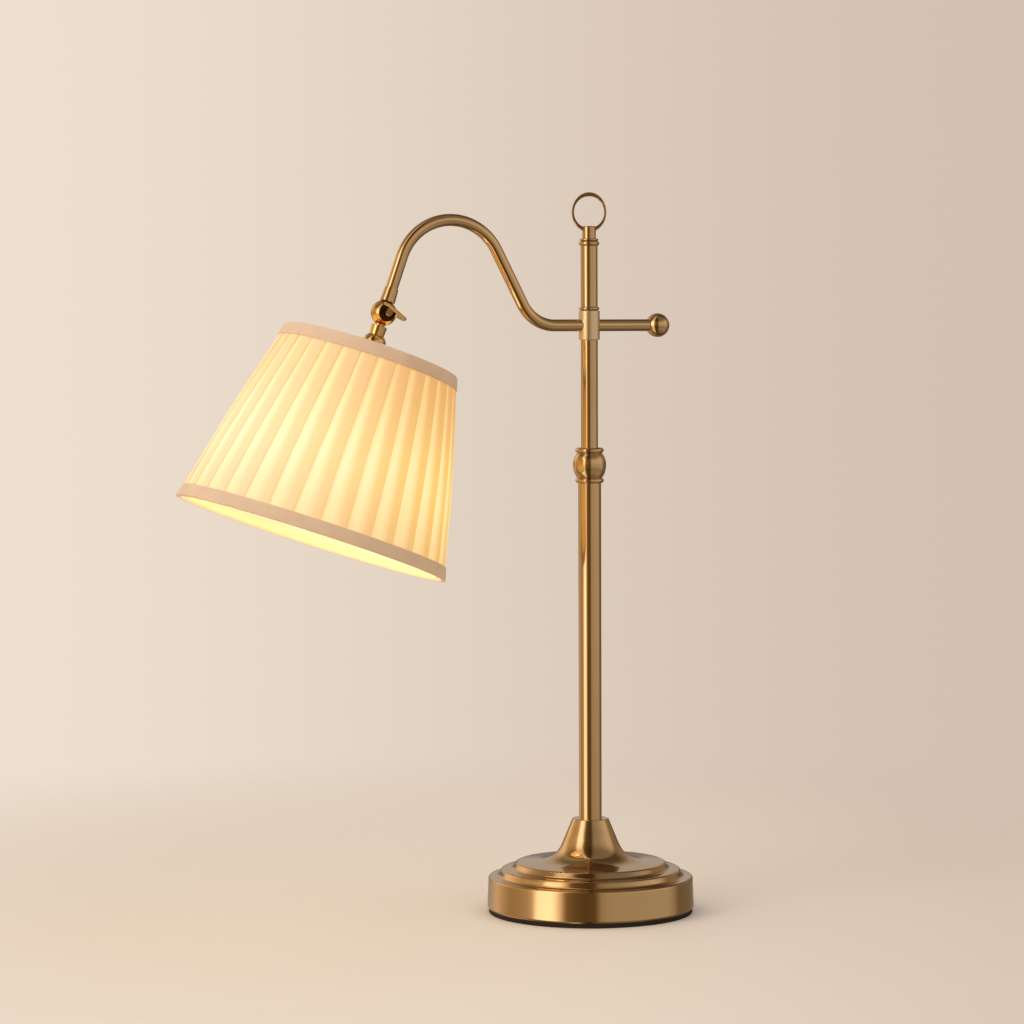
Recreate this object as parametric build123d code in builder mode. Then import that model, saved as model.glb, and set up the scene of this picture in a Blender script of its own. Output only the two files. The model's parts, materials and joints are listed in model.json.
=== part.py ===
"""Swing arm desk lamp: a stepped base and stem, a collar that swings on the stem, a gooseneck arm, and a
pleated shade on a ball swivel.

Millimetres. The origin is on the stem's axis at the base's underside, +Z is up, and the arm reaches
towards -X. Pieces of the head are placed by their distance along the head's axis from the swivel's centre.
"""

import os
from math import cos, radians, sin

from build123d import *

os.makedirs("parts", exist_ok=True)

# ---- driving dimensions -------------------------------------------------------------------------------
FIT = 0.05  # radial clearance of a shaft in its bore
GAP = 0.3  # gap between faces of pieces that move past each other

# base
PAD_RADIUS, PAD_TOP = 85.1, 4.0
BASE_RADIUS = 86.4
SHELL_WALL = 1.6
PLATE_TOP = 5.4
WEIGHT_RADIUS, WEIGHT_TOP = 80.0, 26.0
SEAT_BOTTOM, SEAT_FLOOR, CONE_TOP = 70.0, 72.0, 78.4
NUT_RECESS_TOP = 14.0
INLET_HEIGHT, INLET_BORE, INLET_BODY = 16.0, 3.3, 5.0

# stem
ROD_RADIUS, ROD_BORE, ROD_CLEARANCE = 5.0, 3.6, 0.2
LOWER_TUBE_RADIUS, LOWER_TUBE_BORE = 9.5, 8.3
UPPER_TUBE_RADIUS, UPPER_TUBE_BORE = 7.0, 5.9
KNUCKLE_BOTTOM, BARREL_BOTTOM, BARREL_TOP, KNUCKLE_TOP = 358.9, 363.4, 384.1, 388.3
RING_RADIUS, BARREL_END, BARREL_RADIUS = 11.85, 10.3, 13.75
COLLAR_BOTTOM, COLLAR_TOP, BEAD_TOP = 477.7, 502.4, 505.4
TOP_TUBE_TOP, LOWER_BEAD_TOP, UPPER_BEAD_TOP, NECK_TOP = 555.7, 559.9, 561.8, 572.1
PLUG = 12.0  # length of the solid ends of the stem's tubes
OVERALL_HEIGHT = 600.0

# swing joint
SPINDLE_RADIUS, SPINDLE_BORE = 5.0, 3.2
COLLAR_RADIUS = 8.7
ARM_HEIGHT = 490.0
STOP_HEIGHT, STOP_RADIUS, STOP_REACH = 496.5, 1.0, 6.6
STOP_LAND = 30.0  # degrees of the collar's groove that are left solid
CHAMBER_DOWN, CHAMBER_UP = 4.0, 3.5  # the lead's chamber below and above the arm's axis

# arm
ARM_RADIUS, ARM_BORE = 5.0, 3.8
ARM_ROOT = 7.4  # from the stem's axis to the arm's and the rod's inner ends
LEVEL_END = 31.5
BEND_RADIUS, BEND_TURN = 32.0, 62.6
DIAGONAL = 50.0
ARCH_RADIUS = 45.3
END_TILT = 19.3  # of the arm's end and of the head's axis, from the vertical
END_RUN = 48.0  # from the arch's end to the swivel's centre
ROD_END, COUNTER_BALL_AT, COUNTER_BALL_RADIUS = 54.0, 62.3, 10.0

# swivel
BALL_RADIUS = 10.5
BALL_CLEARANCE = 10.85
FACE_AT, FACE_FLOOR, FACE_RECESS = 7.8, 7.0, 6.2
STUB_RADIUS = 4.0
LEAD_BORE, LEAD_RADIUS = 2.4, 2.1
SCREW_RADIUS = 2.0
SLEEVE_TOP, SLEEVE_END = 21.0, 9.7
SLEEVE_SMALL, SLEEVE_LARGE = 5.7, 6.3  # radii of the flared sleeve's ends
TILT_IN, TILT_OUT = 30.0, 75.0
TILT_PIN_AT, TILT_PIN_RADIUS, TILT_PIN_ANGLE, TILT_PIN_REACH = 8.3, 0.8, 100.0, 1.8

# head, by distance along its axis from the swivel's centre
NECK_START, NECK_END = 11.3, 19.3
NECK_LARGE, NECK_SMALL = 6.5, 6.0
CUP_END, HOLDER_END = 44.0, 70.0
HOLDER_RADIUS, HOLDER_WALL = 19.0, 2.2
CARRIER_AT, CARRIER_THICK = 54.5, 1.5
SHADE_TOP_AT, SHADE_BOTTOM_AT = 32.3, 192.7
SHADE_TOP_RADIUS, SHADE_BOTTOM_RADIUS = 73.2, 114.0
TRIM_WIDTH, TRIM_THICK = 11.0, 0.9
COVER_THICK, LINING_THICK = 2.0, 0.8
WIRE_RADIUS = 1.5
BULB_CONTACT_AT, BULB_CAP_END, BULB_TIP = 50.5, 77.0, 158.0
BULB_CAP_RADIUS, BULB_RADIUS, GLASS_WALL = 13.3, 30.0, 0.9


# ---- helpers ------------------------------------------------------------------------------------------
def save(piece, label):
    """Label a finished piece and write it."""
    piece.part.label = label
    export_step(piece.part, f"parts/{label}.step")


def turned(label, outline, section=Plane.XZ, axis=Axis.Z):
    """Write the solid that a closed outline makes when it is turned about the axis."""
    with BuildPart() as piece:
        with BuildSketch(section):
            with BuildLine():
                Polyline(*outline, close=True)
            make_face()
        revolve(axis=axis)
    save(piece, label)


def band(inner, outer, low, high):
    """Return the outline of a plain ring."""
    return [(inner, low), (outer, low), (outer, high), (inner, high)]


def bead(label, bore, radius, low, high, fullness=0.45):
    """Write a turned ring whose outside is a round bead."""
    shoulder = radius - fullness * (high - low)
    with BuildPart() as piece:
        with BuildSketch(Plane.XZ):
            with BuildLine():
                Line((bore, low), (shoulder, low))
                ThreePointArc((shoulder, low), (radius, (low + high) / 2), (shoulder, high))
                Polyline((shoulder, high), (bore, high), (bore, low))
            make_face()
        revolve(axis=Axis.Z)
    save(piece, label)


# ---- base ---------------------------------------------------------------------------------------------
# Soft pad that the lamp stands on.
with BuildPart() as base_pad:
    Cylinder(PAD_RADIUS, PAD_TOP, align=(Align.CENTER, Align.CENTER, Align.MIN))
    chamfer(base_pad.edges().group_by(Axis.Z)[0], 0.5)
save(base_pad, "base_pad")

# Steel plate that closes the base, with three countersunk screws into the weight.
SCREW_CIRCLE, SCREW_COUNT, SCREW_TURN = 60.0, 3, 30.0
SCREW_HEAD, SCREW_SHANK, SCREW_LENGTH = 3.5, 2.0, 12.0
NUT_HOLE, PLATE_LAP = 15.0, 4.0
STANDING = (Align.CENTER, Align.CENTER, Align.MIN)
plate_thick = PLATE_TOP - PAD_TOP
with BuildPart() as base_cover_plate:
    with BuildSketch(Plane.XY.offset(PAD_TOP)):
        Circle(WEIGHT_RADIUS + PLATE_LAP)
        Circle(NUT_HOLE, mode=Mode.SUBTRACT)
    extrude(amount=plate_thick)
    with PolarLocations(SCREW_CIRCLE, SCREW_COUNT, start_angle=SCREW_TURN):
        with Locations((0, 0, PAD_TOP)):
            Cone(SCREW_HEAD + 0.1, SCREW_SHANK + 0.2, plate_thick, align=STANDING, mode=Mode.SUBTRACT)
save(base_cover_plate, "base_cover_plate")

with BuildPart() as cover_plate_screws:
    with PolarLocations(SCREW_CIRCLE, SCREW_COUNT, start_angle=SCREW_TURN):
        with Locations((0, 0, PAD_TOP)):
            Cone(SCREW_HEAD, SCREW_SHANK, plate_thick, align=STANDING)
            Cylinder(SCREW_SHANK, SCREW_LENGTH, align=STANDING)
save(cover_plate_screws, "cover_plate_screws")

# Cast weight: a disc, a boss up to the shell's seat, a recess for the nut and a channel for the lead.
BOSS_RADIUS, NUT_RECESS = 12.0, 14.0
CHANNEL_MIDDLE, CHANNEL_LENGTH, CHANNEL_DEPTH = 50.0, 80.0, 15.0
with BuildPart() as base_weight:
    with BuildSketch(Plane.XY.offset(PLATE_TOP)):
        Circle(WEIGHT_RADIUS)
    extrude(amount=WEIGHT_TOP - PLATE_TOP)
    with BuildSketch(Plane.XY.offset(WEIGHT_TOP)):
        Circle(BOSS_RADIUS)
    extrude(amount=SEAT_BOTTOM - WEIGHT_TOP)
    with BuildSketch(Plane.XY.offset(PLATE_TOP)):
        Circle(NUT_RECESS)
    extrude(amount=NUT_RECESS_TOP - PLATE_TOP, mode=Mode.SUBTRACT)
    with BuildSketch(Plane.XY.offset(PLATE_TOP)):
        Circle(ROD_RADIUS + ROD_CLEARANCE)
        with PolarLocations(SCREW_CIRCLE, SCREW_COUNT, start_angle=SCREW_TURN):
            Circle(SCREW_SHANK)
    extrude(amount=SEAT_BOTTOM - PLATE_TOP, mode=Mode.SUBTRACT)
    with BuildSketch(Plane.XY.offset(PLATE_TOP)):
        with Locations((0, CHANNEL_MIDDLE)):
            Rectangle(2 * INLET_BODY, CHANNEL_LENGTH)
    extrude(amount=CHANNEL_DEPTH, mode=Mode.SUBTRACT)
save(base_weight, "base_weight")

# Spun shell: straight wall, two soft steps, a gently rising plate and a flared cone up to the stem's seat.
with BuildPart() as base_shell:
    with BuildSketch(Plane.XZ):
        with BuildLine():
            FilletPolyline(
                (BASE_RADIUS - 1.0, PAD_TOP),
                (BASE_RADIUS, 5.4),
                (85.5, 30.0),
                (77.0, 30.6),
                (74.6, 36.3),
                (65.2, 36.9),
                (62.4, 41.9),
                (46.0, 43.0),
                radius=[0.8, 1.8, 2.4, 2.2, 2.6, 2.2],
            )
            Spline(
                (46.0, 43.0), (27.9, 50.4), (21.4, 63.0), (15.25, CONE_TOP - 0.4),
                tangents=[(-16.4, 1.1), (-5.2, 13.2)],
            )
            Polyline(
                (15.25, CONE_TOP - 0.4), (14.85, CONE_TOP), (LOWER_TUBE_RADIUS, CONE_TOP),
                (LOWER_TUBE_RADIUS, SEAT_FLOOR), (ROD_RADIUS + ROD_CLEARANCE, SEAT_FLOOR),
                (ROD_RADIUS + ROD_CLEARANCE, SEAT_BOTTOM), (16.6, SEAT_BOTTOM),
            )
            Spline(
                (16.6, SEAT_BOTTOM), (19.6, 62.4), (26.4, 49.1), (46.0, 41.2),
                tangents=[(3.0, -7.4), (16.4, -1.1)],
            )
            FilletPolyline(
                (46.0, 41.2),
                (61.1, 40.2),
                (63.9, 35.3),
                (73.3, 34.7),
                (75.8, 29.0),
                (83.9, 28.4),
                (BASE_RADIUS - SHELL_WALL, PAD_TOP),
                radius=[0.8, 2.6, 0.8, 2.4, 1.0],
            )
            Line((BASE_RADIUS - SHELL_WALL, PAD_TOP), (BASE_RADIUS - 1.0, PAD_TOP))
        make_face()
    revolve(axis=Axis.Z)
    with BuildSketch(Plane.XZ.offset(-BASE_RADIUS - 2)):
        with Locations((0, INLET_HEIGHT)):
            Circle(INLET_BODY)
    extrude(amount=8, mode=Mode.SUBTRACT)
save(base_shell, "base_shell")

# Cord inlet bush in the back of the wall: flange, body and a snap ridge inside.
inlet_axis = Axis((0, 0, INLET_HEIGHT), (0, 1, 0))
inlet_section = Plane(origin=(0, 0, INLET_HEIGHT), x_dir=(1, 0, 0), z_dir=(0, 0, -1))
turned(
    "cord_inlet_bush",
    [
        (INLET_BORE, -81.0), (INLET_BORE, -88.2), (5.6, -88.2), (6.5, -87.4), (6.5, -86.3),
        (INLET_BODY, -86.3), (INLET_BODY, -83.8), (5.8, -83.6), (INLET_BODY, -81.0),
    ],
    inlet_section,
    inlet_axis,
)

# Threaded rod up the stem, with its nut and washer in the weight's recess.
ROD_START, NUT_START, NUT_TOP = 7.4, 8.6, 12.6
NUT_HALF_ACROSS, NUT_WASHER_RADIUS = 8.5, 12.0
with BuildPart() as stem_rod:
    with BuildSketch(Plane.XY.offset(ROD_START)):
        Circle(ROD_RADIUS)
        Circle(ROD_BORE, mode=Mode.SUBTRACT)
    extrude(amount=KNUCKLE_TOP + PLUG - 1 - ROD_START)
save(stem_rod, "stem_rod")

with BuildPart() as stem_nut:
    with BuildSketch(Plane.XY.offset(NUT_START)):
        RegularPolygon(NUT_HALF_ACROSS, 6, major_radius=False)
        Circle(ROD_RADIUS, mode=Mode.SUBTRACT)
    extrude(amount=NUT_TOP - NUT_START)
save(stem_nut, "stem_nut")
turned("stem_washer", band(ROD_RADIUS + ROD_CLEARANCE, NUT_WASHER_RADIUS, NUT_TOP, NUT_RECESS_TOP))

# ---- stem ---------------------------------------------------------------------------------------------
# The turned knuckle: a round barrel between two rings.
with BuildPart() as knuckle_barrel:
    with BuildSketch(Plane.XZ):
        with BuildLine():
            Line((ROD_RADIUS, BARREL_BOTTOM), (BARREL_END, BARREL_BOTTOM))
            Spline(
                (BARREL_END, BARREL_BOTTOM),
                (BARREL_RADIUS, (BARREL_BOTTOM + BARREL_TOP) / 2),
                (BARREL_END, BARREL_TOP),
                tangents=[(1, 1.2), (-1, 1.2)],
            )
            Polyline((BARREL_END, BARREL_TOP), (ROD_RADIUS, BARREL_TOP), (ROD_RADIUS, BARREL_BOTTOM))
        make_face()
    revolve(axis=Axis.Z)
save(knuckle_barrel, "knuckle_barrel")

turned("lower_tube", band(LOWER_TUBE_BORE, LOWER_TUBE_RADIUS, SEAT_FLOOR, KNUCKLE_BOTTOM))
RING_FULLNESS = 0.35
bead("knuckle_lower_ring", ROD_RADIUS, RING_RADIUS, KNUCKLE_BOTTOM, BARREL_BOTTOM, RING_FULLNESS)
bead("knuckle_upper_ring", ROD_RADIUS, RING_RADIUS, BARREL_TOP, KNUCKLE_TOP, RING_FULLNESS)


def plugged_tube(label, low, high, low_hole, high_hole):
    """Write a stem tube with a solid, bored plug at each end."""
    turned(
        label,
        [
            (low_hole, low), (UPPER_TUBE_RADIUS, low), (UPPER_TUBE_RADIUS, high), (high_hole, high),
            (high_hole, high - PLUG), (UPPER_TUBE_BORE, high - PLUG), (UPPER_TUBE_BORE, low + PLUG),
            (low_hole, low + PLUG),
        ],
    )


STUD_RADIUS = 2.5
plugged_tube("upper_tube", KNUCKLE_TOP, COLLAR_BOTTOM, ROD_RADIUS, SPINDLE_RADIUS)
plugged_tube("top_tube", BEAD_TOP, TOP_TUBE_TOP, SPINDLE_RADIUS, STUD_RADIUS)
LARGE_BEAD, SMALL_BEAD = 8.5, 7.8
bead("collar_bead", SPINDLE_RADIUS, LARGE_BEAD, COLLAR_TOP, BEAD_TOP)
bead("finial_lower_bead", STUD_RADIUS, LARGE_BEAD, TOP_TUBE_TOP, LOWER_BEAD_TOP)
bead("finial_upper_bead", STUD_RADIUS, SMALL_BEAD, LOWER_BEAD_TOP, UPPER_BEAD_TOP)

# Oval ring, heavier at its top and bottom, let into the neck's top and turned partly towards the arm.
RING_FACES = 21.5  # degrees from -Y towards -X
RING_HALF_WIDTH, RING_HALF_HEIGHT = 14.3, 16.4
HOLE_HALF_WIDTH, HOLE_HALF_HEIGHT = 12.6, 13.2
RING_BAND, RING_BEVEL = 6.0, 0.5
ring_normal = Vector(-sin(radians(RING_FACES)), -cos(radians(RING_FACES)), 0)
ring_across = Vector(cos(radians(RING_FACES)), -sin(radians(RING_FACES)), 0)
ring_plane = Plane(origin=(0, 0, OVERALL_HEIGHT - RING_HALF_HEIGHT), x_dir=ring_across, z_dir=ring_normal)
with BuildPart() as finial_ring:
    with BuildSketch(ring_plane):
        Ellipse(RING_HALF_WIDTH, RING_HALF_HEIGHT)
        Ellipse(HOLE_HALF_WIDTH, HOLE_HALF_HEIGHT, mode=Mode.SUBTRACT)
    extrude(amount=RING_BAND / 2, both=True)
    ring_faces = finial_ring.faces().sort_by(Axis((0, 0, 0), ring_normal))
    chamfer(ring_faces[0].edges() + ring_faces[-1].edges(), RING_BEVEL)
save(finial_ring, "finial_ring")

FINIAL_NECK, NECK_BEVEL = 5.6, 0.5
stud_end = TOP_TUBE_TOP - PLUG + 2
with BuildPart() as finial_neck:
    with BuildSketch(Plane.XZ):
        with BuildLine():
            Polyline(
                (0, stud_end), (STUD_RADIUS, stud_end), (STUD_RADIUS, UPPER_BEAD_TOP),
                (FINIAL_NECK, UPPER_BEAD_TOP), (FINIAL_NECK, NECK_TOP - NECK_BEVEL),
                (FINIAL_NECK - NECK_BEVEL, NECK_TOP), (0, NECK_TOP),
                close=True,
            )
        make_face()
    revolve(axis=Axis.Z)
    add(finial_ring.part, mode=Mode.SUBTRACT)
save(finial_neck, "finial_neck")

# ---- swing joint --------------------------------------------------------------------------------------
# Hollow spindle between the two stem tubes, with a window where the lead turns into the arm.
WINDOW_HALF = 3.5
spindle_start, spindle_end = COLLAR_BOTTOM - PLUG + 1, BEAD_TOP + PLUG - 1
with BuildPart() as swing_spindle:
    with BuildSketch(Plane.XY.offset(spindle_start)):
        Circle(SPINDLE_RADIUS)
    extrude(amount=spindle_end - spindle_start)
    with BuildSketch(Plane.XY.offset(spindle_start)):
        Circle(SPINDLE_BORE)
    extrude(amount=ARM_HEIGHT + WINDOW_HALF - spindle_start, mode=Mode.SUBTRACT)
    with BuildSketch(Plane.XY.offset(ARM_HEIGHT - WINDOW_HALF)):
        with Locations((-SPINDLE_RADIUS, 0)):
            Rectangle(2 * SPINDLE_RADIUS, 2 * LEAD_BORE)
    extrude(amount=2 * WINDOW_HALF, mode=Mode.SUBTRACT)
    with BuildSketch(Plane.XZ):
        with Locations((0, STOP_HEIGHT)):
            Circle(STOP_RADIUS)
    extrude(amount=SPINDLE_RADIUS + 1, mode=Mode.SUBTRACT)
save(swing_spindle, "swing_spindle")

with BuildPart() as swing_stop_pin:
    with BuildSketch(Plane.XZ):
        with Locations((0, STOP_HEIGHT)):
            Circle(STOP_RADIUS)
    extrude(amount=STOP_REACH)
save(swing_stop_pin, "swing_stop_pin")

WASHER_THICK, WASHER_RADIUS = 1.6, 6.9
with BuildPart() as swing_washers:
    for bottom in (COLLAR_BOTTOM, COLLAR_TOP - WASHER_THICK):
        with BuildSketch(Plane.XY.offset(bottom)):
            Circle(WASHER_RADIUS)
            Circle(SPINDLE_RADIUS + 0.1, mode=Mode.SUBTRACT)
        extrude(amount=WASHER_THICK)
save(swing_washers, "swing_washers")

LEAD_START = 9.0
with BuildPart() as stem_lead:
    with BuildSketch(Plane.XY.offset(LEAD_START)):
        Circle(LEAD_BORE)
    extrude(amount=ARM_HEIGHT - CHAMBER_DOWN - LEAD_START)
save(stem_lead, "stem_lead")

# Collar: two bearing lands on the spindle, washer recesses, a chamber for the lead and a stop groove.
CHAMBER_RADIUS = 7.2
collar_low, collar_high = COLLAR_BOTTOM + GAP, COLLAR_TOP - GAP
recess = WASHER_THICK
with BuildPart() as collar:
    with BuildSketch(Plane.XZ):
        with BuildLine():
            Polyline(
                (WASHER_RADIUS + GAP, collar_low), (COLLAR_RADIUS - GAP, collar_low),
                (COLLAR_RADIUS, collar_low + GAP), (COLLAR_RADIUS, collar_high - GAP),
                (COLLAR_RADIUS - GAP, collar_high), (WASHER_RADIUS + GAP, collar_high),
                (WASHER_RADIUS + GAP, collar_high - recess), (SPINDLE_RADIUS + FIT, collar_high - recess),
                (SPINDLE_RADIUS + FIT, ARM_HEIGHT + CHAMBER_UP), (CHAMBER_RADIUS, ARM_HEIGHT + CHAMBER_UP),
                (CHAMBER_RADIUS, ARM_HEIGHT - CHAMBER_DOWN),
                (SPINDLE_RADIUS + FIT, ARM_HEIGHT - CHAMBER_DOWN),
                (SPINDLE_RADIUS + FIT, collar_low + recess), (WASHER_RADIUS + GAP, collar_low + recess),
                close=True,
            )
        make_face()
    revolve(axis=Axis.Z)
    with BuildSketch(Plane.XY.offset(STOP_HEIGHT - STOP_RADIUS - GAP)):
        Circle(STOP_REACH + 0.4)
        with BuildLine():
            half = radians(STOP_LAND / 2)
            Polyline((0, 0), (20 * sin(half), 20 * cos(half)), (-20 * sin(half), 20 * cos(half)), close=True)
        make_face(mode=Mode.SUBTRACT)
    extrude(amount=2 * (STOP_RADIUS + GAP), mode=Mode.SUBTRACT)
    for side in (-1, 1):
        with BuildSketch(Plane.YZ.offset(side * (COLLAR_RADIUS + 1))):
            with Locations((0, ARM_HEIGHT)):
                Circle(ARM_RADIUS)
        extrude(amount=-side * 4, mode=Mode.SUBTRACT)
save(collar, "collar")

# ---- arm ----------------------------------------------------------------------------------------------
arch_turn = 90 + BEND_TURN - END_TILT
with BuildLine(Plane.XZ) as arm_route:
    level = Line((-ARM_ROOT, ARM_HEIGHT), (-LEVEL_END, ARM_HEIGHT))
    bend = JernArc(start=level @ 1, tangent=level % 1, radius=BEND_RADIUS, arc_size=-BEND_TURN)
    diagonal = Line(bend @ 1, (bend @ 1) + (bend % 1) * DIAGONAL)
    arch = JernArc(start=diagonal @ 1, tangent=diagonal % 1, radius=ARCH_RADIUS, arc_size=arch_turn)
    last = Line(arch @ 1, (arch @ 1) + (arch % 1) * (END_RUN - SLEEVE_TOP))
head_dir = Vector(-sin(radians(END_TILT)), 0, -cos(radians(END_TILT)))
head_side = Vector(cos(radians(END_TILT)), 0, -sin(radians(END_TILT)))
swivel = (arch @ 1) + head_dir * END_RUN
print("swivel centre", swivel, "arm end", last @ 1)

# The head's section plane: across is its x, along the head's axis is its y.
head_section = Plane(origin=swivel, x_dir=head_side, z_dir=head_side.cross(head_dir))
head_axis = Axis(swivel, head_dir)


def head_plane(distance):
    """Return the plane square to the head's axis at a distance from the swivel's centre."""
    return Plane(origin=swivel + head_dir * distance, x_dir=(0, 1, 0), z_dir=head_dir)


with BuildPart() as arm_tube:
    with BuildSketch(Plane(origin=arm_route.line @ 0, x_dir=(0, 1, 0), z_dir=(-1, 0, 0))):
        Circle(ARM_RADIUS)
        Circle(ARM_BORE, mode=Mode.SUBTRACT)
    sweep(path=arm_route.line)
save(arm_tube, "arm_tube")

with BuildPart() as arm_lead:
    with BuildSketch(Plane(origin=arm_route.line @ 0, x_dir=(0, 1, 0), z_dir=(-1, 0, 0))):
        Circle(LEAD_RADIUS)
    sweep(path=arm_route.line)
save(arm_lead, "arm_lead")

TENON_RADIUS, TENON_LENGTH = 3.0, 8.0
with BuildPart() as counter_rod:
    with BuildSketch(Plane.YZ.offset(ARM_ROOT)):
        with Locations((0, ARM_HEIGHT)):
            Circle(ARM_RADIUS)
    extrude(amount=ROD_END - ARM_ROOT)
    with BuildSketch(Plane.YZ.offset(ROD_END)):
        with Locations((0, ARM_HEIGHT)):
            Circle(TENON_RADIUS)
    extrude(amount=TENON_LENGTH)
save(counter_rod, "counter_rod")

with BuildPart() as counter_ball:
    with Locations((COUNTER_BALL_AT, 0, ARM_HEIGHT)):
        Sphere(COUNTER_BALL_RADIUS)
    with BuildSketch(Plane.YZ.offset(ROD_END - 4)):
        with Locations((0, ARM_HEIGHT)):
            Circle(COUNTER_BALL_RADIUS)
    extrude(amount=4, mode=Mode.SUBTRACT)
    with BuildSketch(Plane.YZ.offset(ROD_END)):
        with Locations((0, ARM_HEIGHT)):
            Circle(TENON_RADIUS)
    extrude(amount=TENON_LENGTH, mode=Mode.SUBTRACT)
save(counter_ball, "counter_ball")

# Flared sleeve: a spigot in the tube's end, and a hollow underside that clears the ball.
SPIGOT = 8.0
STUB_END = 16.0
ball_clearance = Pos(*swivel) * Sphere(BALL_CLEARANCE)
with BuildPart() as arm_sleeve:
    with BuildSketch(head_section):
        with BuildLine():
            Polyline(
                (LEAD_BORE, -SLEEVE_TOP - SPIGOT), (ARM_BORE, -SLEEVE_TOP - SPIGOT),
                (ARM_BORE, -SLEEVE_TOP), (SLEEVE_SMALL, -SLEEVE_TOP), (SLEEVE_LARGE, -SLEEVE_END),
                (STUB_RADIUS, -SLEEVE_END), (STUB_RADIUS, -STUB_END), (LEAD_BORE, -STUB_END),
                close=True,
            )
        make_face()
    revolve(axis=head_axis)
    add(ball_clearance, mode=Mode.SUBTRACT)
save(arm_sleeve, "arm_sleeve")

# ---- swivel -------------------------------------------------------------------------------------------
# The ball is two halves that meet on the plane of the arm: the back half belongs to the arm, the front
# half to the head. The key's screw clamps them, and a pin in an arc groove limits the tilt.
HALF_SPACE = 40.0  # side of the boxes that cut the ball in two
SCREW_HOLE_LENGTH = 18.4
CHAMBER_DEPTH, CHAMBER_INNER, CHAMBER_OUTER = 2.6, 3.2, 6.6
STUB_SINK, BORE_START = 8.0, 5.0  # where the stubs and their bores start, from the swivel's centre
NECK_SEAT = 14.5  # end of the front half's stub, in the neck
to_half = (HALF_SPACE - GAP) / 2
in_front = Pos(swivel.X, -to_half, swivel.Z) * Box(HALF_SPACE, HALF_SPACE, HALF_SPACE)
behind = Pos(swivel.X, to_half, swivel.Z) * Box(HALF_SPACE, HALF_SPACE, HALF_SPACE)
chamber_ring = Cylinder(CHAMBER_OUTER, 2 * CHAMBER_DEPTH + GAP) - Cylinder(CHAMBER_INNER, HALF_SPACE)
lead_chamber = Pos(*swivel) * Rot(90, 0, 0) * chamber_ring
screw_hole = Pos(*swivel) * Rot(90, 0, 0) * Cylinder(SCREW_RADIUS + FIT, SCREW_HOLE_LENGTH)


def around_swivel(distance, angle):
    """Return a point beside the swivel's centre, by its angle from the head's axis towards the stem."""
    return swivel + head_dir * (distance * cos(radians(angle))) + head_side * (distance * sin(radians(angle)))


def facing_front(point, distance):
    """Return the plane that faces the front, level with a point and a distance in front of the arm."""
    return Plane(origin=(point.X, -distance, point.Z), x_dir=(1, 0, 0), z_dir=(0, -1, 0))


with BuildPart() as swivel_back_half:
    with Locations(swivel):
        Sphere(BALL_RADIUS)
    add(in_front, mode=Mode.SUBTRACT)
    with BuildSketch(head_plane(-STUB_END)):
        Circle(STUB_RADIUS)
    extrude(amount=STUB_END - STUB_SINK)
    add(ball_clearance & in_front, mode=Mode.SUBTRACT)
    add(lead_chamber, mode=Mode.SUBTRACT)
    add(screw_hole, mode=Mode.SUBTRACT)
    with BuildSketch(head_plane(-STUB_END)):
        Circle(LEAD_BORE)
    extrude(amount=STUB_END - BORE_START, mode=Mode.SUBTRACT)
save(swivel_back_half, "swivel_back_half")

tilt_pin_at = around_swivel(TILT_PIN_AT, TILT_PIN_ANGLE)
with BuildPart() as tilt_stop_pin:
    with BuildSketch(facing_front(tilt_pin_at, -GAP / 2)):
        Circle(TILT_PIN_RADIUS)
    extrude(amount=TILT_PIN_REACH)
save(tilt_stop_pin, "tilt_stop_pin")

GROOVE_SPARE = 7.5  # degrees beyond the pin's centre at each end
GROOVE_HALF, GROOVE_DEPTH = 1.0, 1.9
REACH = 30.0  # any length past the ball
groove_from, groove_to = TILT_PIN_ANGLE - TILT_IN - GROOVE_SPARE, TILT_PIN_ANGLE + TILT_OUT + GROOVE_SPARE
groove_plane = Plane(origin=(swivel.X, -GAP / 2, swivel.Z), x_dir=head_side, z_dir=(0, -1, 0))
groove_turns = [radians(groove_from + (groove_to - groove_from) * step / 4) for step in range(5)]
with BuildPart() as swivel_front_half:
    with Locations(swivel):
        Sphere(BALL_RADIUS)
    add(behind, mode=Mode.SUBTRACT)
    with BuildSketch(head_plane(STUB_SINK)):
        Circle(STUB_RADIUS)
    extrude(amount=NECK_SEAT - STUB_SINK)
    add(ball_clearance & behind, mode=Mode.SUBTRACT)
    add(lead_chamber, mode=Mode.SUBTRACT)
    add(screw_hole, mode=Mode.SUBTRACT)
    with BuildSketch(head_plane(BORE_START)):
        Circle(LEAD_BORE)
    extrude(amount=NECK_SEAT - BORE_START, mode=Mode.SUBTRACT)
    with BuildSketch(facing_front(swivel, FACE_AT)):
        Circle(BALL_RADIUS)
    extrude(amount=BALL_RADIUS - FACE_AT + 1, mode=Mode.SUBTRACT)
    with BuildSketch(facing_front(swivel, FACE_FLOOR)):
        Circle(FACE_RECESS)
    extrude(amount=FACE_AT - FACE_FLOOR, mode=Mode.SUBTRACT)
    with BuildSketch(groove_plane):
        Circle(TILT_PIN_AT + GROOVE_HALF)
        Circle(TILT_PIN_AT - GROOVE_HALF, mode=Mode.SUBTRACT)
        with BuildLine():
            Polyline((0, 0), *[(REACH * sin(turn), -REACH * cos(turn)) for turn in groove_turns], close=True)
        make_face(mode=Mode.INTERSECT)
    extrude(amount=GROOVE_DEPTH, mode=Mode.SUBTRACT)
save(swivel_front_half, "swivel_front_half")

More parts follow.
